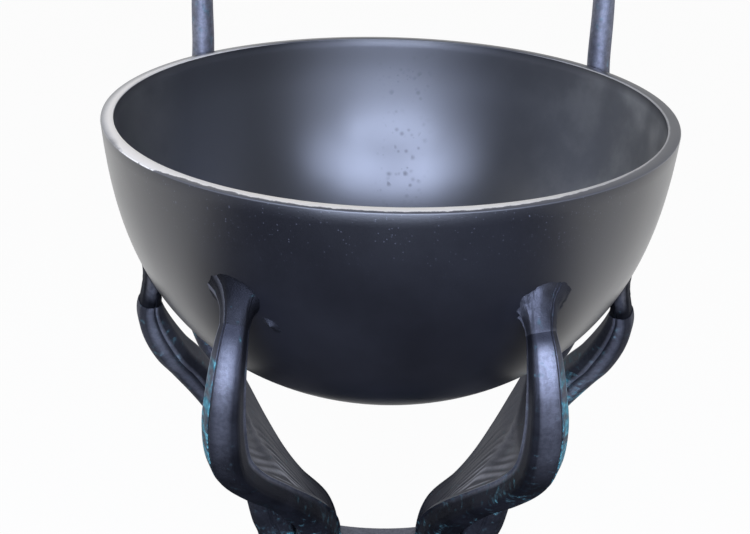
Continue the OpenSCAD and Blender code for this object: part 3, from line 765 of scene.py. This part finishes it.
def fold(v, share):
    """A broad fold that runs from the top of the palm down to its middle."""
    off = v + FOLD_LINE - share
    return math.exp(-(off / FOLD_WIDTH) ** 2) * share_of(share, *FOLD_START) * share_of(share, *FOLD_END)


def palm_ring(root, edge, along, share):
    f, b = Vector(root[:3]), Vector(edge[:3])
    half_f, half_b = root[3], edge[3]
    chord = b - f
    e = chord.normalized()
    n = along.cross(e).normalized()
    thin = 1 - math.exp(-(chord.length / THIN_CHORD) ** 2)
    web = min(mix(min(half_f, half_b), PALM_THICKNESS / 2, thin), half_f)
    dip = -along.normalized() * PALM_SCOOP * share_of(share, SCOOP_START, SCOOP_END) ** 2

    def half(v):
        return mix(half_f, half_b, v) - (mix(half_f, half_b, 0.5) - web) * math.sin(math.pi * v) ** 0.6

    def middle(v):
        return f + v * chord + math.sin(math.pi * v) * dip

    def lobe(centre, radius, first):
        for i in range(LOBE_POINTS):
            a = first + math.pi * i / (LOBE_POINTS - 1)
            yield centre + radius * (math.cos(a) * e + math.sin(a) * n)

    def flute(v):
        return thin * (FLUTE_DEPTH * groove(v, share) - FOLD_HEIGHT * fold(v, share))

    ring = list(lobe(f, half_f, math.pi / 2))
    ring += [middle(v) - half(v) * n for v in (i / OUTER_POINTS for i in range(1, OUTER_POINTS))]
    ring += list(lobe(b, half_b, -math.pi / 2))
    ring += [middle(v) + (half(v) - flute(v)) * n
             for v in (i / INNER_POINTS for i in range(INNER_POINTS - 1, 0, -1))]
    return ring


def palm_rings(roots, edges):
    middles = [[(p + q) / 2 for p, q in zip(f[:3], b[:3])] for f, b in zip(roots, edges)]
    top = len(roots) - 1
    steps = [k / RINGS_PER_STEP for k in range(top * RINGS_PER_STEP + 1)]
    return [palm_ring(smooth_at(roots, u), smooth_at(edges, u), heading(middles, u), u / top) for u in steps]


def capped(rings):
    """Closes both ends of a row of rings with a pole."""
    return [[middle_of(rings[0])]] + rings + [[middle_of(rings[-1])]]


def up_to_neck(bar, neck):
    return capped(bar[:int((neck + NECK_DEPTH) * RINGS_PER_STEP)])


def on_arm(stations, weld_drop):
    return [[*arm_point(STEM_REACH, weld_drop, *s[:3]), *(half * MM for half in s[3:])] for s in stations]


rail_outline = rounded_outline(RAIL_OUTLINE)
side_outline = rounded_outline(SIDE_OUTLINE)
rod_outline = [ROD_FULLNESS * Vector((math.cos(a), math.sin(a)))
               for a in (2 * math.pi * i / ROD_SIDES for i in range(ROD_SIDES))]
rail_bar = bar_rings(on_arm(RAIL, FRONT_WELD_DROP), rail_outline, RAIL_FACING)
palm_web = palm_rings(on_arm(PALM_ROOT, FRONT_WELD_DROP), on_arm(PALM_EDGE, FRONT_WELD_DROP))
side_feet = [[*polar(s[0] * MM, s[1], mix(SEAT_Z, RIM_Z - SIDE_WELD_DROP, s[2])), s[3] * MM, s[4] * MM]
             for s in SIDE_FOOT]
side_path = side_feet + on_arm(SIDE_LOW, FRONT_WELD_DROP) + on_arm(SIDE_HIGH, SIDE_WELD_DROP)
side_bar = bar_rings(side_path, side_outline)


def finish_arm(node, bm, side):
    mirror_left(bm, side)
    finish_piece(node + "_skin", bm, arm_finish, "arm_finish", node)


def make_antler(name, side):
    def rail_bloom(k, i, p):
        strip = within(spot_on(rail_outline, i), *OUTER_STRIP)
        tine = min(1, FLAKING[name] * hump(k, *TINE_BLOOM))
        elbow = ELBOW_SHARE[name] * hump(k, *ELBOW_BLOOM)
        return min(1, strip * tine + elbow + FOOT_SHARE * hump(k, *FOOT_BLOOM) + ANTLER_BLOOM)

    def rail_sheen(k, i, p):
        """A painted highlight along the middle of the tine's face, with painted highlight lines on its beads.
        """
        spot = spot_on(rail_outline, i)
        tine = share_of(k, *TINE_START) * share_of(k, *NECK_FADE[name])
        sheen_level = max(0, 1 - abs((spot.x - FACE_MIDDLE) / FACE_HALF) ** FACE_POWER[name])
        face = sheen_level * within(spot, *TINE_FACE)
        strip = STRIP_SHEEN * within(spot, *OUTER_STRIP)
        inner_bead = within(spot, *INNER_BEAD) * share_of(k, *BEAD_START) * share_of(k, *BEAD_END)
        outer_edge = within(spot, *OUTER_EDGE) * share_of(k, *EDGE_START)
        return max(face * tine, inner_bead, outer_edge, (DIM_SHEEN + strip) * tine)

    def palm_sheen(k, i, p):
        """Painted highlights on the ridges between the flutes near the rail, and along the fold."""
        v = (1 - i) * PALM_POINTS / INNER_POINTS
        if not 0 < v < 1:
            return PALM_BACK_SHEEN
        ridge = max(0, 1 - 4 * groove(v, k)) ** 2 * (0.6 + 0.9 * noise.noise((k * 6, v * 8, 1)))
        ridge *= RIDGE_SHEEN * share_of(v, *RIDGES_ACROSS) * share_of(k, *RIDGES_END)
        return max(0, PALM_BASE_SHEEN + ridge, FOLD_SHEEN * fold(v, k))

    bm = start_mesh(*ARM_LAYERS)
    rail_rows = skin(bm, up_to_neck(rail_bar, RAIL_NECK))
    palm_rows = skin(bm, capped(palm_web))
    paint(bm, "bloom", rail_rows, rail_bloom)
    paint_evenly(bm, "bloom", palm_rows, ANTLER_BLOOM)
    paint(bm, "painted_sheen", rail_rows, rail_sheen)
    paint(bm, "painted_sheen", palm_rows, palm_sheen)
    cut_at_seat(bm)
    end_in_wall(bm)
    finish_arm(name + "_antler", bm, side)


def make_side_tine(name, side):
    def side_sheen(k, i, p):
        """Painted highlights on a ridge and a lip that face the front, above the foot."""
        spot = spot_on(side_outline, i)
        ridge = SIDE_RIDGE_SHEEN * hump(spot.y, *SIDE_RIDGE_OUT) * within(spot, *SIDE_RIDGE)
        light = max(ridge, SIDE_LIP_SHEEN * within(spot, *SIDE_LIP))
        return mix(DIM_SHEEN, SIDE_BASE_SHEEN + light, share_of(k, *SIDE_START))

    bm = start_mesh(*ARM_LAYERS)
    rows = skin(bm, up_to_neck(side_bar, SIDE_NECK))
    paint(bm, "painted_sheen", rows, side_sheen)
    paint(bm, "bloom", rows, lambda k, i, p: mix(SIDE_TINE_BLOOM, 1, hump(k, *SIDE_BLOOM_AND_LIGHT[name])))
    cut_at_seat(bm)
    end_in_wall(bm)
    finish_arm(name + "_side_tine", bm, side)


def make_rear_tine(name, side):
    angle = REAR_ANGLES[name]
    rear_r = BOWL_R + REAR_GAP + REAR_D / 2
    half_d, half_tip = REAR_D / 2, REAR_TIP_D / 2

    def root(reach, turned, rise, half):
        turn = mix(PALM_CORNER_ANGLE, angle, turned)
        return [*arm_point(STEM_REACH, FRONT_WELD_DROP, reach, turn, rise), half * MM, half * MM]

    def beside(out, turn, below):
        return [*polar(rear_r + out * MM, angle + turn, RIM_Z - below * MM), half_d, half_d]

    def above(share, half):
        return [*polar(rear_r - share * REAR_LEAN, angle + share * REAR_TURN, RIM_Z + share * REAR_RISE),
                half, half]

    stations = [root(*s) for s in REAR_ROOT] + [beside(*s) for s in REAR_BESIDE]
    stations += [above(share, mix(half_d, half_tip, taper)) for share, taper in REAR_ABOVE]
    stations.append(above(1, half_tip / 2))
    bm = start_mesh(*ARM_LAYERS)
    rows = skin(bm, capped(bar_rings(stations, rod_outline, per_step=ROD_RINGS_PER_STEP)))
    # The rod is painted dark below the rim as painted shade behind the bowl, with a painted highlight above
    # the rim
    paint(bm, "painted_sheen", rows, lambda k, i, p: mix(DIM_SHEEN, ROD_SHEEN, share_of(k, *ROD_START)))
    paint_evenly(bm, "bloom", rows, REAR_TINE_BLOOM)
    finish_arm(name + "_rear_tine", bm, side)


# Welds

FLARE_STEPS = 18
BEAD_RINGS = 22
BEAD_TURNS = 64
WELD_SHARP_ANGLE = 60
WELD_SINK = 0.3 * MM
WELD_ROOT = 2 * MM
FLARE_BLOOM = 0.25
BEAD_BLOOM = 0.3
# Lumps on the welds' faces: their pitch and height
FLARE_LUMPS = (3.5 * MM, 0.8 * MM)
BEAD_LUMPS = (4 * MM, 0.5 * MM)
# Waves in the welds' outlines: how many and how high
FLARE_WAVES = ((3, 0.16), (9, 0.12))
BEAD_WAVES = ((3, 0.13),)
# A flare's throat and its foot on the bowl: angle, drop, half width and half height
FRONT_FLARE = ((26, 52, 8, 8), (27.3, 49, 16, 11.5))
SIDE_FLARE = ((62.5, 84, 7, 7), (62, 80, 10, 10))
# How wide a flare is where it meets the arm's neck, and how far its last ring is drawn in inside the arm
FRONT_NECK_SIZE = 1.03
SIDE_NECK_SIZE = 0.94
FLARE_TUCK = 0.2
# Painted highlight lines on a painted-over weld, as parts of the rail's section
WELD_EDGE = ((0.95, FAR), (-0.1, 0.2))
WELD_CREASE = ((0.52, 0.58), (0.75, FAR))
WELD_TOP = ((-0.7, 0.3), (0.8, FAR))
# A side weld's painted highlight patch: centre and reach across, outward and along the weld
SIDE_PATCH = ((-0.6, 0.6), (0.3, 0.6), (0.5, 0.3))
SIDE_PATCH_SHEEN = 0.9
SIDE_WELD_LUMPS = 0.5


def on_bowl(angle, drop, across, down, out):
    """A point on the bowl's outside, counted from a weld's centre."""
    below = drop + down
    return polar(bowl_at(below) + out, angle + math.degrees(across / BOWL_R), RIM_Z - below)


def uneven(a, waves, seed):
    """How far a weld's outline wanders at a turn."""
    return sum(high * noise.noise((many * math.cos(a), many * math.sin(a), seed)) for many, high in waves)


def finish_weld(name, replaced, bm, side, material, slot):
    mirror_left(bm, side)
    finish_piece(name, bm, material, slot, replaced, sharp=WELD_SHARP_ANGLE)


def sunk_ring(ring):
    """A ring moved into the bowl's wall, which closes a weld behind."""
    return [p - WELD_ROOT * outward(p) for p in ring]


def make_flare(name, side, bar, outline, neck, neck_size, flare, lumps, seed, material, sheen_level):
    """A weld that spreads from an arm's neck to the bowl."""
    throat, foot = flare
    pitch, high = FLARE_LUMPS
    ring = bar[int(neck * RINGS_PER_STEP)]
    centre = middle_of(ring)
    lines = []
    for p, spot in zip(ring, outline):
        a = math.atan2(spot.y, spot.x)
        size = (1 + lumps * uneven(a, FLARE_WAVES, seed)) * MM
        across, down = size * math.cos(a), -size * math.sin(a)
        ends = [on_bowl(angle, drop * MM, half_wide * across, half_high * down, out)
                for (angle, drop, half_wide, half_high), out in ((foot, -WELD_SINK), (throat, WELD_SINK))]
        lines.append((*ends, centre + neck_size * (p - centre)))
    rings = []
    for s in (k / FLARE_STEPS for k in range(FLARE_STEPS + 1)):
        row = [(1 - s) ** 2 * f + 2 * s * (1 - s) * m + s * s * n for f, m, n in lines]
        swell = lumps * high * math.sin(math.pi * s)
        rings.append([p + swell * noise.noise(p / pitch + Vector((0, 0, seed))) * outward(p) for p in row])
    rings.append([mix(p, centre, FLARE_TUCK) for p in ring])
    bm = start_mesh(*ARM_LAYERS)
    rows = skin(bm, capped([sunk_ring(rings[0])] + rings))
    # Painted highlights on the weld, laid by its sheen function
    paint(bm, "painted_sheen", rows, lambda k, i, p: sheen_level(k, spot_on(outline, i)))
    paint_evenly(bm, "bloom", rows, FLARE_BLOOM)
    finish_weld(name + "_bead", name, bm, side, material, "weld_finish")


def make_bead(name, replaced, side, angle, drop, half_wide, half_high, height, seed, material, slot,
              turn=0, sheen_level=0.0):
    """A low bead on the bowl's outside, turned by an angle."""
    turned = Matrix.Rotation(math.radians(turn), 2)
    pitch, high = BEAD_LUMPS
    rings = []
    for k in range(BEAD_RINGS + 1):
        d = 1 - k / BEAD_RINGS
        ring = []
        for i in range(BEAD_TURNS if d > 0 else 1):
            a = 2 * math.pi * i / BEAD_TURNS
            size = d * (1 + uneven(a, BEAD_WAVES, seed))
            across, down = turned @ (size * Vector((half_wide * math.cos(a), half_high * math.sin(a))))
            lump = high * noise.noise((across / pitch, down / pitch, seed))
            rise = height * (1 - d) ** 1.5 + lump * min(1, 4 * (1 - d)) - WELD_SINK
            ring.append(on_bowl(angle, drop, across, down, rise))
        rings.append(ring)
    under = sunk_ring(rings[0])
    bm = start_mesh(*ARM_LAYERS)
    rows = skin(bm, [[middle_of(under)], under] + rings)
    paint_evenly(bm, "bloom", rows, BEAD_BLOOM)
    paint_evenly(bm, "painted_sheen", rows, sheen_level)
    finish_weld(name, replaced, bm, side, material, slot)


def painted_weld_sheen(k, spot):
    """A painted-over weld has painted highlights on creases down its outer side and on a bead on top, and a
    faint painted sheen at its neck.
    """
    crease = 0.6 * within(spot, *WELD_EDGE) + 0.35 * within(spot, *WELD_CREASE)
    bead = 0.5 * within(spot, *WELD_TOP) * float(0.04 < k < 0.12)
    return max(crease * float(k > 0.1), bead, 0.1 * share_of(k, 0.5, 1))


def bare_weld_sheen(k, spot):
    """A bare weld has a painted sheen on its front and a painted highlight ring at the neck."""
    return max(0.35 * float(k > 0.9), 0.2 * share_of(spot.x, 0.7, -0.3))


def side_weld_sheen(k, spot):
    """A side weld has one soft painted highlight patch on the side that faces the front."""
    light = SIDE_PATCH_SHEEN
    for value, (centre, reach) in zip((spot.x, spot.y, k), SIDE_PATCH):
        light *= max(0, 1 - ((value - centre) / reach) ** 2)
    return light


def make_welds():
    # Lumps, seed, finish and painted sheen of the front welds: the left one is painted over, the right one is
    # bare
    front_looks = {"left": (0.35, 5, painted_weld, painted_weld_sheen), "right": (1.0, 6, weld_finish, bare_weld_sheen)}
    for n, (name, side) in enumerate(SIDES):
        make_flare(f"front_{name}_weld", side, rail_bar, rail_outline, RAIL_NECK, FRONT_NECK_SIZE,
                   FRONT_FLARE, *front_looks[name])
        make_flare(f"side_{name}_weld", side, side_bar, side_outline, SIDE_NECK, SIDE_NECK_SIZE, SIDE_FLARE,
                   SIDE_WELD_LUMPS, 15 + n, painted_weld, side_weld_sheen)
        make_bead(f"rear_{name}_weld_bead", f"rear_{name}_weld", side, REAR_ANGLES[name], REAR_WELD_DROP,
                  half_wide=7.5 * MM, half_high=9 * MM, height=4 * MM, seed=25 + n, material=weld_finish,
                  slot="weld_finish")
    # A drop of weld metal on the bowl's front, painted over, with a faint even painted sheen
    make_bead("fire_bowl_drop", "fire_bowl", -1, angle=20.2, drop=61.5 * MM, half_wide=7.5 * MM,
              half_high=3.6 * MM, height=2 * MM, seed=35, material=painted_weld, slot="bowl_paint", turn=-40,
              sheen_level=0.07)


# The stand

SAME_POINT = 0.001 * MM
FLAT_ANGLE = math.radians(0.5)
EDGE_ANGLE = math.radians(40)
EDGE_EASE = 0.8 * MM
# Height above the seat from which the saddle's top gets a painted highlight
SADDLE_LIT_HEIGHT = 28 * MM


def dress_node(name, material):
    """Gives a CAD node that stays in view its finish."""
    slots = cad_nodes[name].data.materials
    if not slots:
        slots.append(material)
    for i in range(len(slots)):
        slots[i] = material


def make_stand_piece(name):
    """A stand casting in its CAD shape with eased edges; the top of the saddle gets a painted highlight."""
    bm = start_mesh(*ARM_LAYERS)
    bm.from_mesh(cad_nodes[name].data)
    bmesh.ops.remove_doubles(bm, verts=bm.verts, dist=SAME_POINT)
    bmesh.ops.dissolve_limit(bm, angle_limit=FLAT_ANGLE, verts=bm.verts, edges=bm.edges)
    edges = [e for e in bm.edges if e.is_manifold and e.calc_face_angle() > EDGE_ANGLE]
    bmesh.ops.bevel(bm, geom=edges, offset=EDGE_EASE, offset_type="OFFSET", segments=2, profile=0.5,
                    affect="EDGES", clamp_overlap=True)
    # The top of the saddle takes the lavender painted sheen, a painted highlight on its lit top
    paint(bm, "painted_sheen", [bm.verts], lambda k, i, p: float(p.z > SEAT_Z + SADDLE_LIT_HEIGHT))
    finish_piece(name + "_skin", bm, stand_finish, "stand_finish", name)


def dress_stand():
    for name in ("crown", "pedestal", "base"):
        make_stand_piece(name)
    for name in ("arm_screws", "arm_washers", "tie_rod", "tie_washer", "tie_nut", "foot_screws"):
        dress_node(name, bright_steel)
    dress_node("foot_pads", pad_rubber)


# Studio

WHITE = (1, 1, 1, 1)
PALE_FLOOR = (0.8, 0.8, 0.8, 1)
FLOOR_HALF = 12.0
# How much of the floor's white is its own light to the camera; the rest takes the shadow
FLOOR_GLOW = 0.96
# The floor in mirrors: dim in front, bright from and to behind; a place aside counts in part as one behind
FLOOR_BEHIND = (-0.02, 0.42)
FLOOR_ASIDE = 0.2
ASIDE_SHARE = 0.75
DIM_FLOOR = 0.04
# The room in mirrors: where its light changes, from and to, and its strengths; and its light on dull surfaces
ROOM_ACROSS = (-0.5, 0.6)
ROOM_ALONG = (-0.35, 0.3)
ROOM_UP = (0.5, 0.75)
LEFT_ROOM = 1.0
RIGHT_ROOM = 0.5
FRONT_ROOM = 0.06
TOP_ROOM = 0.25
DULL_LIGHT = 0.3
SOFT_BLUE = (0.66, 0.75, 1.0)
LAMP_DISTANCE = 1.3
LAMP_AIM = Vector((0, 0, RIM_Z - 50 * MM))
# Soft boxes: name, azimuth, elevation, width and height, and power
LAMPS = [
    ("low_soft_box", -2, 9, (1.0, 0.45), 16.5), ("high_soft_box", -2, 43, (1.2, 0.7), 8.5),
    ("left_soft_box", -34, 21, (0.8, 0.9), 4.5), ("right_soft_box", 30, 21, (0.8, 0.9), 4.5)]
CAMERA_PLACE = Vector((-0.0062, -0.4318, RIM_Z + 0.1271))
CAMERA_PITCH = math.radians(28.34)
CAMERA_ROLL = math.radians(1.34)
SENSOR_WIDTH = 36.0
FOCAL_LENGTH = 38.4


def add_floor():
    """A pale floor that looks white, keeps the shadow, and is dim in front where the room is dark."""
    mesh = bpy.data.meshes.new("studio_floor")
    corners = [(x * FLOOR_HALF, y * FLOOR_HALF, 0) for x, y in ((-1, -1), (1, -1), (1, 1), (-1, 1))]
    mesh.from_pydata(corners, [], [(0, 1, 2, 3)])
    floor = bpy.data.objects.new("studio_floor", mesh)
    bpy.context.scene.collection.objects.link(floor)
    material = bpy.data.materials.new("studio_floor")
    material.use_nodes = True
    tree = material.node_tree
    tree.nodes.clear()
    place = put(tree, "SeparateXYZ", {"Vector": here(tree)}).outputs
    path = put(tree, "LightPath").outputs
    aside = larger(tree, minus(tree, calc(tree, "ABSOLUTE", place["X"]), FLOOR_ASIDE), 0.0)
    behind = calc(tree, "ADD", place["Y"], times(tree, aside, ASIDE_SHARE))
    dimmed = ramp(tree, behind, *FLOOR_BEHIND, start=DIM_FLOOR)
    pale = put(tree, "BsdfDiffuse", {"Color": PALE_FLOOR}).outputs[0]
    white = put(tree, "Emission", {"Color": WHITE, "Strength": 1.0}).outputs[0]
    mirrored = put(tree, "Emission", {"Color": WHITE, "Strength": dimmed}).outputs[0]
    seen = put(tree, "MixShader", {0: times(tree, path["Is Camera Ray"], FLOOR_GLOW), 1: pale, 2: white})
    glossy = larger(tree, path["Is Glossy Ray"], path["Is Transmission Ray"])
    both = put(tree, "MixShader", {0: glossy, 1: seen.outputs[0], 2: mirrored})
    out = put(tree, "OutputMaterial")
    tree.links.new(both.outputs[0], out.inputs["Surface"])
    mesh.materials.append(material)


def add_world():
    """White to the camera; what shines mirrors a room dark in front, and dim above and on the right."""
    world = bpy.data.worlds.new("studio")
    bpy.context.scene.world = world
    world.use_nodes = True
    tree = world.node_tree
    tree.nodes.clear()
    way = put(tree, "SeparateXYZ", {"Vector": put(tree, "TexCoord").outputs["Generated"]}).outputs
    path = put(tree, "LightPath").outputs
    room = level(tree, ramp(tree, way["X"], *ROOM_ACROSS), LEFT_ROOM, RIGHT_ROOM)
    room = level(tree, ramp(tree, way["Y"], *ROOM_ALONG), FRONT_ROOM, room)
    room = times(tree, room, ramp(tree, way["Z"], *ROOM_UP, start=1.0, end=TOP_ROOM))
    strength = level(tree, path["Is Glossy Ray"], DULL_LIGHT, room)
    seen = larger(tree, path["Is Camera Ray"], path["Is Transmission Ray"])
    sky = put(tree, "Background", {"Color": WHITE, "Strength": level(tree, seen, strength, 1.0)})
    out = put(tree, "OutputWorld")
    tree.links.new(sky.outputs[0], out.inputs["Surface"])


def add_lamp(name, azimuth, elevation, size, power):
    """A soft box that looks at the bowl's mouth."""
    lamp = bpy.data.lights.new(name, "AREA")
    lamp.shape = "RECTANGLE"
    lamp.size, lamp.size_y = size
    lamp.energy = power
    lamp.color = SOFT_BLUE
    box = bpy.data.objects.new(name, lamp)
    bpy.context.scene.collection.objects.link(box)
    back = polar(math.cos(math.radians(elevation)), azimuth, math.sin(math.radians(elevation)))
    box.location = LAMP_AIM + back * LAMP_DISTANCE
    box.rotation_mode = "QUATERNION"
    box.rotation_quaternion = (-back).to_track_quat("-Z", "Y")


def add_camera():
    """The photograph's view: a little above the rim, looking down into the bowl."""
    ahead = Vector((0, math.cos(CAMERA_PITCH), -math.sin(CAMERA_PITCH)))
    level_up = Vector((0, math.sin(CAMERA_PITCH), math.cos(CAMERA_PITCH)))
    level_right = Vector((1, 0, 0))
    right = level_right * math.cos(CAMERA_ROLL) + level_up * math.sin(CAMERA_ROLL)
    up = level_up * math.cos(CAMERA_ROLL) - level_right * math.sin(CAMERA_ROLL)
    lens = bpy.data.cameras.new("photo_view")
    lens.sensor_width = SENSOR_WIDTH
    lens.lens = FOCAL_LENGTH
    camera = bpy.data.objects.new("photo_view", lens)
    bpy.context.scene.collection.objects.link(camera)
    turned = Matrix((right, up, -ahead)).transposed().to_4x4()
    camera.matrix_world = Matrix.Translation(CAMERA_PLACE) @ turned
    bpy.context.scene.camera = camera


add_camera()
make_fire_bowl()
for side_name, side_sign in SIDES:
    make_antler(side_name, side_sign)
    make_side_tine(side_name, side_sign)
    make_rear_tine(side_name, side_sign)
make_welds()
dress_stand()
add_floor()
add_world()
for lamp_values in LAMPS:
    add_lamp(*lamp_values)
bpy.context.scene.view_settings.view_transform = "Standard"
